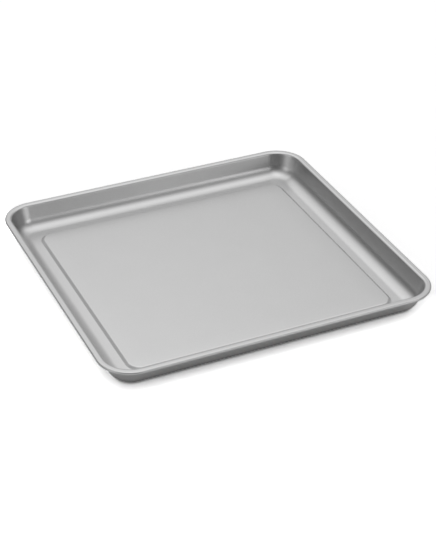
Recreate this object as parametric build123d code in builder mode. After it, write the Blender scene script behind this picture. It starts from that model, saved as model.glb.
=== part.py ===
from build123d import *
from math import cos, degrees, radians, sin, tan
import os

# Driving dimensions, in millimetres and degrees
tray_length = 324.0          # outer edge of the rim, along X
tray_width = 310.4           # outer edge of the rim, along Y
tray_height = 23.6           # table to the top of the rim
sheet = 0.6                  # thickness of the pressed steel
corner_radius = 31.4         # outer edge of the rim at a corner

# Rim: the edge of the sheet is curled outwards and down around a wire
wire_diameter = 1.8
wire_clearance = 0.1         # air between the wire and the curl
wire_gap = 0.6               # left between the two ends of the wire
curl_opening = 3.4           # left open round the curl, between its free end and the flange
flange_run = 2.5             # level stretch from the curl to the brow
brow_radius = 3.0            # where the flange turns down into the wall

# Wall and floor
wall_lean = 17.1             # from vertical
cove_radius = 14.1           # where the wall turns into the floor
channel_run = 3.0            # flat floor that belongs to the rim's section

# Raised panel in the floor
panel_inset = 32.1           # outer edge of the rim to the middle of the step
panel_radius = 12.2          # corner of the panel, at the middle of the step
panel_rise = 2.4
step_slope = 43              # of the step's straight flank, from the flat
step_foot_radius = 1.4
step_brow_radius = 2.1

# Sizes that follow
half_length = tray_length / 2
half_width = tray_width / 2
wire_radius = wire_diameter / 2
curl_radius = wire_radius + wire_clearance + sheet
curl_height = tray_height - curl_radius
wall_tilt = 90 - wall_lean


def turned(centre, radius, angle):
    """The point of a circle at an angle that is 0 at the circle's top and grows inwards."""
    inwards = centre[0] + radius * sin(radians(angle))
    height = centre[1] + radius * cos(radians(angle))
    return (inwards, height)


def rounded_outline(inset, radius):
    """A closed line on the table, the same distance inside the rim's outer edge all round."""
    across = half_length - inset
    along = half_width - inset
    with BuildLine() as outline:
        FilletPolyline(
            (-across, -along), (across, -along), (across, along), (-across, along),
            radius=radius,
            close=True,
        )
    return outline.line


def section_plane(path):
    """The plane square to a path at its start, with x towards the middle of the tray and y up."""
    inwards = Axis.Z.direction.cross(path % 0)
    return Plane(origin=path @ 0, x_dir=inwards, z_dir=path % 0)


# Section of the rim, as points of its upper skin: distance in from the outer edge, and height
curl_centre = (curl_radius, curl_height)
curl_turn = degrees(curl_opening / curl_radius) - 360
curl_end = turned(curl_centre, curl_radius, curl_turn)
curl_side = turned(curl_centre, curl_radius, curl_turn / 2)
flange_start = (curl_radius, tray_height)
flange_end = (curl_radius + flange_run, tray_height)
brow_centre = (flange_end[0], tray_height - brow_radius)
brow_middle = turned(brow_centre, brow_radius, wall_tilt / 2)
wall_top = turned(brow_centre, brow_radius, wall_tilt)
cove_height = sheet + cove_radius * (1 - sin(radians(wall_lean)))
wall_drop = wall_top[1] - cove_height
wall_foot = (wall_top[0] + wall_drop * tan(radians(wall_lean)), cove_height)
cove_centre = turned(wall_foot, cove_radius, wall_tilt)
cove_middle = turned(cove_centre, -cove_radius, wall_tilt / 2)
cove_foot = (cove_centre[0], sheet)
channel_end = (cove_foot[0] + channel_run, sheet)

# Section of the panel's step: distance in from the middle of the step, and height
step_bends_run = (step_foot_radius + step_brow_radius) * sin(radians(step_slope))
step_bends_rise = (step_foot_radius + step_brow_radius) * (1 - cos(radians(step_slope)))
step_flank_run = (panel_rise - step_bends_rise) / tan(radians(step_slope))
step_reach = (step_bends_run + step_flank_run) / 2
foot_start = (-step_reach, sheet)
foot_centre = (-step_reach, sheet + step_foot_radius)
foot_middle = turned(foot_centre, -step_foot_radius, -step_slope / 2)
foot_end = turned(foot_centre, -step_foot_radius, -step_slope)
brow_end = (step_reach, sheet + panel_rise)
step_brow_centre = (step_reach, sheet + panel_rise - step_brow_radius)
step_brow_middle = turned(step_brow_centre, step_brow_radius, -step_slope / 2)
step_brow_start = turned(step_brow_centre, step_brow_radius, -step_slope)

# Lines that the sections are carried along
rim_outline = rounded_outline(0, corner_radius)
panel_outline = rounded_outline(panel_inset, panel_radius)
wire_half_length = half_length - curl_radius
wire_half_width = half_width - curl_radius
with BuildLine(Plane.XY.offset(curl_height)) as wire_line:
    FilletPolyline(
        (wire_gap / 2, wire_half_width),
        (wire_half_length, wire_half_width),
        (wire_half_length, -wire_half_width),
        (-wire_half_length, -wire_half_width),
        (-wire_half_length, wire_half_width),
        (-wire_gap / 2, wire_half_width),
        radius=corner_radius - curl_radius,
    )

# Pan: one sheet, pressed into floor, cove and wall, with its edge curled
with BuildPart() as pan:
    with BuildSketch(section_plane(rim_outline)):
        with BuildLine():
            ThreePointArc(curl_end, curl_side, flange_start)
            Line(flange_start, flange_end)
            ThreePointArc(flange_end, brow_middle, wall_top)
            Line(wall_top, wall_foot)
            ThreePointArc(wall_foot, cove_middle, cove_foot)
            Line(cove_foot, channel_end)
            offset(amount=sheet, side=Side.RIGHT)
        make_face()
    sweep(path=rim_outline)

    # Rest of the channel, up to the panel's step
    with BuildSketch():
        RectangleRounded(
            tray_length - 2 * channel_end[0],
            tray_width - 2 * channel_end[0],
            corner_radius - channel_end[0],
        )
        RectangleRounded(
            tray_length - 2 * (panel_inset - step_reach),
            tray_width - 2 * (panel_inset - step_reach),
            panel_radius + step_reach,
            mode=Mode.SUBTRACT,
        )
    extrude(amount=sheet)

    # Step up to the panel, a straight flank between two bends
    with BuildSketch(section_plane(panel_outline)):
        with BuildLine():
            ThreePointArc(foot_start, foot_middle, foot_end)
            Line(foot_end, step_brow_start)
            ThreePointArc(step_brow_start, step_brow_middle, brow_end)
            offset(amount=sheet, side=Side.RIGHT)
        make_face()
    sweep(path=panel_outline)

    # Panel
    with BuildSketch(Plane.XY.offset(panel_rise)):
        RectangleRounded(
            tray_length - 2 * (panel_inset + step_reach),
            tray_width - 2 * (panel_inset + step_reach),
            panel_radius - step_reach,
        )
    extrude(amount=sheet)

# Rim wire: one length, bent round inside the curl until its ends nearly meet behind
with BuildPart() as rim_wire:
    with BuildSketch(section_plane(wire_line.line)):
        Circle(wire_radius)
    sweep(path=wire_line.line)

os.makedirs("parts", exist_ok=True)
pan.part.label = "pan"
rim_wire.part.label = "rim_wire"
export_step(pan.part, "parts/pan.step")
export_step(rim_wire.part, "parts/rim_wire.step")
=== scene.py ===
"""A rimmed cookie sheet of grey coated steel on a pale studio floor."""

import bpy
import numpy as np
from mathutils import Matrix, Vector


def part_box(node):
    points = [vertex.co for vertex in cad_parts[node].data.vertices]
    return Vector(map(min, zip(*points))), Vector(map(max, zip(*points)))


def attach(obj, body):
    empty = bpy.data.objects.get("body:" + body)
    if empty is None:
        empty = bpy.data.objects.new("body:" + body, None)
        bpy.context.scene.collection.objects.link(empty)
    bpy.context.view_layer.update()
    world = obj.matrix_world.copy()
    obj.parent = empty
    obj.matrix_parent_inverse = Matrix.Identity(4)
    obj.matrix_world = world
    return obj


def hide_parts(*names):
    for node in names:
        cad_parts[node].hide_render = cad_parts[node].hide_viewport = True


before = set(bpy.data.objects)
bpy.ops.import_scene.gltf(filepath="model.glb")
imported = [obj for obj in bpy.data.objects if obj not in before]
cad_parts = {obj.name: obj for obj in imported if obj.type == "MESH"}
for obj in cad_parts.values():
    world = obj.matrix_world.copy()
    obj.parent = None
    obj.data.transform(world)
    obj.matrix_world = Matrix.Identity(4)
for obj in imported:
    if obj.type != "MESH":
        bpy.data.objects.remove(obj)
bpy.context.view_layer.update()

MM = 0.001

# Sizes of the tray, in metres, and its angles, in degrees
tray_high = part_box("pan")[1]
HALF_SIDES = np.array([tray_high.x, tray_high.y])
TRAY_HEIGHT = tray_high.z
SHEET = 0.6 * MM
CORNER_RADIUS = 31.4 * MM
WIRE_RADIUS = 0.9 * MM
WIRE_CLEARANCE = 0.1 * MM
CURL_OPENING = 3.4 * MM
FLANGE_RUN = 2.5 * MM
BROW_RADIUS = 3.0 * MM
WALL_LEAN = 17.1
COVE_RADIUS = 14.1 * MM
PANEL_INSET = 32.1 * MM
PANEL_RADIUS = 12.2 * MM
PANEL_RISE = 2.4 * MM
STEP_SLOPE = 43
STEP_FOOT_RADIUS = 1.4 * MM
STEP_BROW_RADIUS = 2.1 * MM

# Points of the mesh along each stretch of the section and round the outline, and rings across the panel
CURL_POINTS = 44
FLANGE_POINTS = 2
BROW_POINTS = 26
WALL_POINTS = 8
COVE_POINTS = 32
CHANNEL_POINTS = 5
STEP_FOOT_POINTS = 10
STEP_FLANK_POINTS = 2
STEP_BROW_POINTS = 12
PANEL_RINGS = 6
CORNER_POINTS = 26
SIDE_POINTS = 12
SHARP_ANGLE = 50

# Metals: share of the grain in the mix, detail of the soft noise, and grains to one swell of the surface
GRAIN_SHARE = 0.7
NOISE_DETAIL = 2.0
SWELL_GRAINS = 3

# The photograph's camera: its angles as for the lights, its lens, and the point that it looks at
CAMERA_AZIMUTH = -114.42
CAMERA_ELEVATION = 32.4
CAMERA_ROLL = 0.125
CAMERA_DISTANCE = 1.4388
CAMERA_TARGET = Vector((-0.00688, -0.0312, TRAY_HEIGHT))
FOCAL_PIXELS = 1550.1
PICTURE_HEIGHT = 533
SENSOR = 36.0

# The floor: its white, and the gains and reaches that pale_floor() explains
FLOOR_REACH = 8.0
FLOOR_WHITE = 0.75
MIRROR_GAIN = 0.1
CAMERA_GAINS = (3.4, 0.7)
GAIN_AZIMUTH = 45
GAIN_SPAN = (-10 * MM, 40 * MM)
CONTACT_REACH = 2.4 * MM

# The sky, and its lights: azimuth from +X and elevation in degrees, sharpness and strength
SKY_LEVEL = 0.12
SOFT_LIGHTS = [
    (73, 45, 18, 1.1),     # behind
    (302, 15, 40, 2.25),   # in front on the right, low
    (169, 82, 8, 1.3),     # overhead
    (57, -3, 8, 0.6),      # behind on the right, at the horizon
    (4, 51, 11, 1.1),      # right
    (119, 42, 18, 0.95),   # behind on the left
    (191, 17, 22, 1.15),   # left, low
    (278, 67, 29, 0.65),   # in front, high
]


def direction(angle):
    """The unit vector of a section at an angle from straight up that grows inwards: sine, then cosine."""
    turn = np.radians(angle)
    return np.stack([np.sin(turn), np.cos(turn)], axis=-1)


def shares_between(count):
    """Even shares between 0 and 1, without the two ends."""
    return np.linspace(0, 1, count + 2)[1:-1]


def arc(centre, radius, first, last, count):
    """Points of a circle at even steps of angle: centre + radius * direction(angle)."""
    return centre + radius * direction(np.linspace(first, last, count))


def straight(start, end, count):
    """Points inside a straight run, without its ends: start + share * (end - start)."""
    return start + shares_between(count)[:, None] * (end - start)


def tray_section(depth):
    """One skin of the sheet, depth below its upper skin, from the free end of the curl to the panel.

    Each row is a distance in from the rim's outer edge and a height. The section is five bends
    joined by straight runs. A bend that bulges upwards loses the depth from its radius, and one
    that is hollow upwards gains it. The second result is where the flat channel starts and ends.
    """
    curl_radius = WIRE_RADIUS + WIRE_CLEARANCE + SHEET
    curl_first = np.degrees(CURL_OPENING / curl_radius) - 360
    curl_centre = np.array([curl_radius, TRAY_HEIGHT - curl_radius])
    wall_tilt = 90 - WALL_LEAN
    brow_centre = np.array([curl_radius + FLANGE_RUN, TRAY_HEIGHT - BROW_RADIUS])
    wall_top = brow_centre + BROW_RADIUS * direction(wall_tilt)
    cove_height = SHEET + COVE_RADIUS * (1 - np.cos(np.radians(wall_tilt)))
    wall_run = (wall_top[1] - cove_height) / np.cos(np.radians(WALL_LEAN))
    wall_foot = wall_top + wall_run * direction(180 - WALL_LEAN)
    cove_centre = wall_foot + COVE_RADIUS * direction(wall_tilt)
    bends_run, bends_drop = (STEP_FOOT_RADIUS + STEP_BROW_RADIUS) * direction(STEP_SLOPE)
    flank_rise = PANEL_RISE - (STEP_FOOT_RADIUS + STEP_BROW_RADIUS - bends_drop)
    step_reach = (bends_run + flank_rise / np.tan(np.radians(STEP_SLOPE))) / 2
    foot_centre = np.array([PANEL_INSET - step_reach, SHEET + STEP_FOOT_RADIUS])
    edge_centre = np.array([PANEL_INSET + step_reach, SHEET + PANEL_RISE - STEP_BROW_RADIUS])

    curl = arc(curl_centre, curl_radius - depth, curl_first, 0, CURL_POINTS)
    brow = arc(brow_centre, BROW_RADIUS - depth, 0, wall_tilt, BROW_POINTS)
    cove = arc(cove_centre, -COVE_RADIUS - depth, wall_tilt, 0, COVE_POINTS)
    foot = arc(foot_centre, -STEP_FOOT_RADIUS - depth, 0, -STEP_SLOPE, STEP_FOOT_POINTS)
    edge = arc(edge_centre, STEP_BROW_RADIUS - depth, -STEP_SLOPE, 0, STEP_BROW_POINTS)
    flange = straight(curl[-1], brow[0], FLANGE_POINTS)
    wall = straight(brow[-1], cove[0], WALL_POINTS)
    channel = straight(cove[-1], foot[0], CHANNEL_POINTS)
    flank = straight(foot[-1], edge[0], STEP_FLANK_POINTS)
    section = np.concatenate([curl, flange, brow, wall, cove, channel, foot, flank, edge])
    return section, (cove[-1, 0], foot[0, 0])


def outline(inset, radius):
    """Rounded rectangles on the table, one row for each inset and corner radius.

    A point is spread * (half sides - inset - radius) + radius * outward. On a corner spread stays
    at (1, 1) or its mirror while outward turns a quarter; on a side outward stays and spread runs
    from one corner's value to the next.
    """
    spreads, outwards = [], []
    signs = np.array([(1, 1), (-1, 1), (-1, -1), (1, -1)])
    for number, (sign, following) in enumerate(zip(signs, np.roll(signs, -1, axis=0))):
        turn = np.radians(90 * number + np.linspace(0, 90, CORNER_POINTS))
        outwards.append(np.stack([np.cos(turn), np.sin(turn)], axis=1))
        spreads.append(np.repeat([sign], CORNER_POINTS, axis=0))
        outwards.append(np.repeat(outwards[-1][-1:], SIDE_POINTS, axis=0))
        spreads.append(straight(sign, following, SIDE_POINTS))
    spread = np.concatenate(spreads)[None]
    outward = np.concatenate(outwards)[None]
    inset = inset[:, None, None]
    radius = radius[:, None, None]
    return spread * (HALF_SIDES - inset - radius) + radius * outward


def skin_rings(depth):
    """The rings of one skin, from the curl's free end to just short of the panel's middle.

    The corner radius shrinks with the inset from the rim, and again with the inset from the
    panel's outline; in the flat channel between the two it runs evenly from one to the other.
    Inside the panel the last ring shrinks evenly towards the middle.
    """
    section, (channel_start, channel_end) = tray_section(depth)
    inset, height = section.T
    share = np.clip((inset - channel_start) / (channel_end - channel_start), 0, 1)
    radius = (1 - share) * (CORNER_RADIUS - inset) + share * (PANEL_RADIUS + PANEL_INSET - inset)
    rings = outline(inset, radius)
    shrink = 1 - shares_between(PANEL_RINGS)[:, None, None]
    rings = np.concatenate([rings, shrink * rings[-1:]])
    height = np.concatenate([height, np.repeat(height[-1:], PANEL_RINGS)])
    heights = np.repeat(height[:, None, None], rings.shape[1], axis=1)
    return np.concatenate([rings, heights], axis=2)


def new_piece(name, points, quads, triangles):
    """A mesh from an array of points and two of faces, smooth except where faces meet sharply."""
    mesh = bpy.data.meshes.new(name)
    loops = np.concatenate([quads.ravel(), triangles.ravel()]).astype(np.int32)
    sizes = np.concatenate([np.full(len(quads), 4), np.full(len(triangles), 3)]).astype(np.int32)
    mesh.vertices.add(len(points))
    mesh.vertices.foreach_set("co", points.astype(np.float32).ravel())
    mesh.loops.add(len(loops))
    mesh.loops.foreach_set("vertex_index", loops)
    mesh.polygons.add(len(sizes))
    mesh.polygons.foreach_set("loop_start", (np.cumsum(sizes) - sizes).astype(np.int32))
    mesh.polygons.foreach_set("use_smooth", np.ones(len(sizes), bool))
    mesh.update(calc_edges=True)
    mesh.validate()
    mesh.set_sharp_from_angle(angle=np.radians(SHARP_ANGLE))
    piece = bpy.data.objects.new(name, mesh)
    bpy.context.scene.collection.objects.link(piece)
    return piece


def pressed_pan():
    """The pan as one closed skin: the rings above, the rings below, and a middle point for each.

    Each ring joins the next one inwards, the last joins its middle point, and the first ring above
    joins the first below across the cut edge of the curl.
    """
    upper, lower = skin_rings(0), skin_rings(SHEET)
    count, around = upper.shape[:2]
    skin = count * around
    middles = [(0, 0, upper[-1, 0, 2]), (0, 0, lower[-1, 0, 2])]
    points = np.concatenate([upper.reshape(-1, 3), lower.reshape(-1, 3), middles])
    ring = np.arange(skin).reshape(count, around)
    beside = np.roll(ring, -1, axis=1)
    above = np.stack([ring[:-1], beside[:-1], beside[1:], ring[1:]], axis=-1).reshape(-1, 4)
    below = above[:, ::-1] + skin
    cut = np.stack([beside[0], ring[0], ring[0] + skin, beside[0] + skin], axis=-1)
    top_fan = np.stack([ring[-1], beside[-1], np.full(around, 2 * skin)], axis=-1)
    low_fan = np.stack([beside[-1] + skin, ring[-1] + skin, np.full(around, 2 * skin + 1)], axis=-1)
    quads = np.concatenate([above, below, cut])
    triangles = np.concatenate([top_fan, low_fan])
    return new_piece("pressed_pan", points, quads, triangles)


def towards(azimuth, elevation):
    """The unit vector at an azimuth from +X and an elevation, both in degrees."""
    turn, rise = np.radians([azimuth, elevation])
    return (np.cos(turn) * np.cos(rise), np.sin(turn) * np.cos(rise), np.sin(rise))


def photograph_camera():
    """The camera at the photograph's viewing angle, turned about the point it looks at."""
    back = Vector(towards(CAMERA_AZIMUTH, CAMERA_ELEVATION))
    level = Vector((0, 0, 1)).cross(back).normalized()
    upright = back.cross(level)
    roll = np.radians(CAMERA_ROLL)
    right = np.cos(roll) * level + np.sin(roll) * upright
    up = -np.sin(roll) * level + np.cos(roll) * upright
    data = bpy.data.cameras.new("photograph_camera")
    data.sensor_width = SENSOR
    data.lens = FOCAL_PIXELS * SENSOR / PICTURE_HEIGHT
    camera = bpy.data.objects.new("photograph_camera", data)
    place = Matrix((right, up, back)).transposed().to_4x4()
    place.translation = CAMERA_TARGET + back * CAMERA_DISTANCE
    camera.matrix_world = place
    bpy.context.scene.collection.objects.link(camera)
    bpy.context.scene.camera = camera


def linear(hex_colour):
    """An sRGB hex colour as the linear colour that the shaders take, with alpha 1."""
    parts = np.array([int(hex_colour[i:i + 2], 16) for i in (1, 3, 5)]) / 255
    parts = np.where(parts <= 0.04045, parts / 12.92, ((parts + 0.055) / 1.055) ** 2.4)
    return (*parts.tolist(), 1.0)


def add_node(tree, kind, settings=None, values=None, links=None):
    """Adds a node with its attributes, the values of its inputs, and the outputs that feed its inputs."""
    node = tree.nodes.new(kind)
    for name, value in (settings or {}).items():
        setattr(node, name, value)
    for socket, value in (values or {}).items():
        node.inputs[socket].default_value = value
    for socket, source in (links or {}).items():
        tree.links.new(source, node.inputs[socket])
    return node


def new_material(name):
    """A material with an empty node tree."""
    material = bpy.data.materials.new(name)
    material.use_nodes = True
    material.node_tree.nodes.clear()
    return material


def grained_metal(name, tones, gloss, grain_size, patch_size, relief):
    """A metal whose tone, gloss and surface vary finely with its grain and softly in broad patches.

    Each cell of the grain has its own chance value, and the patches are soft noise. The two are
    mixed by GRAIN_SHARE. The mix runs the tone from the first colour to the second, and the
    roughness from the first value to the second. The surface rises by up to relief metres over a
    soft noise whose size is SWELL_GRAINS grains.
    """
    material = new_material(name)
    tree = material.node_tree
    place = add_node(tree, "ShaderNodeTexCoord").outputs["Object"]
    cells = add_node(
        tree, "ShaderNodeTexVoronoi", values={"Scale": 1 / grain_size}, links={"Vector": place},
    )
    chance = add_node(tree, "ShaderNodeSeparateColor", links={"Color": cells.outputs["Color"]})
    patches = add_node(
        tree, "ShaderNodeTexNoise",
        values={"Scale": 1 / patch_size, "Detail": NOISE_DETAIL}, links={"Vector": place},
    )
    mix = add_node(
        tree, "ShaderNodeMix",
        values={"Factor": GRAIN_SHARE}, links={"A": patches.outputs["Fac"], "B": chance.outputs["Red"]},
    ).outputs["Result"]
    tone = add_node(
        tree, "ShaderNodeMixRGB",
        values={"Color1": linear(tones[0]), "Color2": linear(tones[1])}, links={"Fac": mix},
    )
    roughness = add_node(
        tree, "ShaderNodeMapRange", values={"To Min": gloss[0], "To Max": gloss[1]}, links={"Value": mix},
    )
    swell = add_node(
        tree, "ShaderNodeTexNoise",
        values={"Scale": 1 / (SWELL_GRAINS * grain_size), "Detail": NOISE_DETAIL}, links={"Vector": place},
    )
    bump = add_node(
        tree, "ShaderNodeBump", values={"Distance": relief}, links={"Height": swell.outputs["Fac"]},
    )
    shader = add_node(
        tree, "ShaderNodeBsdfPrincipled",
        values={"Metallic": 1.0},
        links={
            "Base Color": tone.outputs["Color"],
            "Roughness": roughness.outputs["Result"],
            "Normal": bump.outputs["Normal"],
        },
    )
    add_node(tree, "ShaderNodeOutputMaterial", links={"Surface": shader.outputs["BSDF"]})
    return material


def pale_floor():
    """A matt pale floor, whiter to the rays that show it.

    Its white is FLOOR_WHITE * (1 + gain). The gain is MIRROR_GAIN for mirrored and refracted rays,
    so that the floor lights the tray plainly. For camera rays it runs from the first of
    CAMERA_GAINS in front and on the left to the second behind and on the right, across GAIN_SPAN
    along GAIN_AZIMUTH, so that the floor is plain white behind the rim; the higher gain in front is
    painted light that keeps the tray's shadow light.
    Within CONTACT_REACH of the tray the gain falls by the share of the view that the tray blocks, which is
    a painted contact shadow.
    """
    material = new_material("pale_floor")
    tree = material.node_tree
    rays = add_node(tree, "ShaderNodeLightPath").outputs
    mirrored = add_node(
        tree, "ShaderNodeMath", {"operation": "MAXIMUM"},
        links={0: rays["Is Glossy Ray"], 1: rays["Is Transmission Ray"]},
    )
    plain = add_node(
        tree, "ShaderNodeMath", {"operation": "MULTIPLY_ADD"},
        values={1: FLOOR_WHITE * MIRROR_GAIN, 2: FLOOR_WHITE}, links={0: mirrored.outputs["Value"]},
    )
    place = add_node(tree, "ShaderNodeTexCoord").outputs["Object"]
    depth = add_node(
        tree, "ShaderNodeVectorMath", {"operation": "DOT_PRODUCT"},
        values={1: towards(GAIN_AZIMUTH, 0)}, links={0: place},
    )
    # Painted light: the camera gain is higher in front and on the left, which lightens the tray's shadow
    # there
    gain = add_node(
        tree, "ShaderNodeMapRange", {"interpolation_type": "SMOOTHSTEP"},
        values={
            "From Min": GAIN_SPAN[0], "From Max": GAIN_SPAN[1],
            "To Min": FLOOR_WHITE * CAMERA_GAINS[0], "To Max": FLOOR_WHITE * CAMERA_GAINS[1],
        },
        links={"Value": depth.outputs["Value"]},
    )
    # Painted contact shadow: near the tray the camera's extra white falls with the ambient occlusion
    painted_contact_shadow = add_node(tree, "ShaderNodeAmbientOcclusion", values={"Distance": CONTACT_REACH})
    shown = add_node(
        tree, "ShaderNodeMath", {"operation": "MULTIPLY"},
        links={0: rays["Is Camera Ray"], 1: painted_contact_shadow.outputs["AO"]},
    )
    white = add_node(
        tree, "ShaderNodeMath", {"operation": "MULTIPLY_ADD"},
        links={0: shown.outputs["Value"], 1: gain.outputs["Result"], 2: plain.outputs["Value"]},
    )
    matt = add_node(tree, "ShaderNodeBsdfDiffuse", links={"Color": white.outputs["Value"]})
    add_node(tree, "ShaderNodeOutputMaterial", links={"Surface": matt.outputs["BSDF"]})
    return material


def floor_piece():
    """The studio's floor, a square that reaches FLOOR_REACH from the tray's middle each way."""
    reach = FLOOR_REACH
    corners = [(-reach, -reach, 0), (reach, -reach, 0), (reach, reach, 0), (-reach, reach, 0)]
    mesh = bpy.data.meshes.new("studio_floor")
    mesh.from_pydata(corners, [], [(0, 1, 2, 3)])
    mesh.materials.append(pale_floor())
    floor = bpy.data.objects.new("studio_floor", mesh)
    bpy.context.scene.collection.objects.link(floor)


def studio_world():
    """A dim even sky with round soft lights in it.

    In a direction at an angle from the middle of a light, the light adds its strength times
    exp(sharpness * (cosine of the angle - 1)).
    """
    world = bpy.data.worlds.new("studio")
    bpy.context.scene.world = world
    world.use_nodes = True
    tree = world.node_tree
    tree.nodes.clear()
    looking = add_node(tree, "ShaderNodeTexCoord").outputs["Generated"]
    level = add_node(tree, "ShaderNodeValue").outputs["Value"]
    level.default_value = SKY_LEVEL
    for azimuth, elevation, sharpness, strength in SOFT_LIGHTS:
        cosine = add_node(
            tree, "ShaderNodeVectorMath", {"operation": "DOT_PRODUCT"},
            values={1: towards(azimuth, elevation)}, links={0: looking},
        )
        falloff = add_node(
            tree, "ShaderNodeMath", {"operation": "MULTIPLY_ADD"},
            values={1: sharpness, 2: -sharpness}, links={0: cosine.outputs["Value"]},
        )
        glow = add_node(
            tree, "ShaderNodeMath", {"operation": "EXPONENT"}, links={0: falloff.outputs["Value"]},
        )
        total = add_node(
            tree, "ShaderNodeMath", {"operation": "MULTIPLY_ADD"},
            values={1: strength}, links={0: glow.outputs["Value"], 2: level},
        )
        level = total.outputs["Value"]
    background = add_node(
        tree, "ShaderNodeBackground", values={"Color": linear("#ffffff")}, links={"Strength": level},
    )
    add_node(tree, "ShaderNodeOutputWorld", links={"Surface": background.outputs["Background"]})


coating = grained_metal(
    "satin_grey_coating", tones=("#c3c3c3", "#cdcdcd"), gloss=(0.32, 0.35),
    grain_size=0.25 * MM, patch_size=30 * MM, relief=0.0015 * MM,
)
drawn_steel = grained_metal(
    "bright_drawn_steel", tones=("#b4b3b0", "#cdccc9"), gloss=(0.18, 0.34),
    grain_size=0.12 * MM, patch_size=4 * MM, relief=0.001 * MM,
)
pan = pressed_pan()
pan.data.materials.append(coating)
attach(pan, "root")
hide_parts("pan")
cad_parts["rim_wire"].material_slots[0].material = drawn_steel
floor_piece()
studio_world()
photograph_camera()
bpy.context.scene.view_settings.view_transform = "Standard"
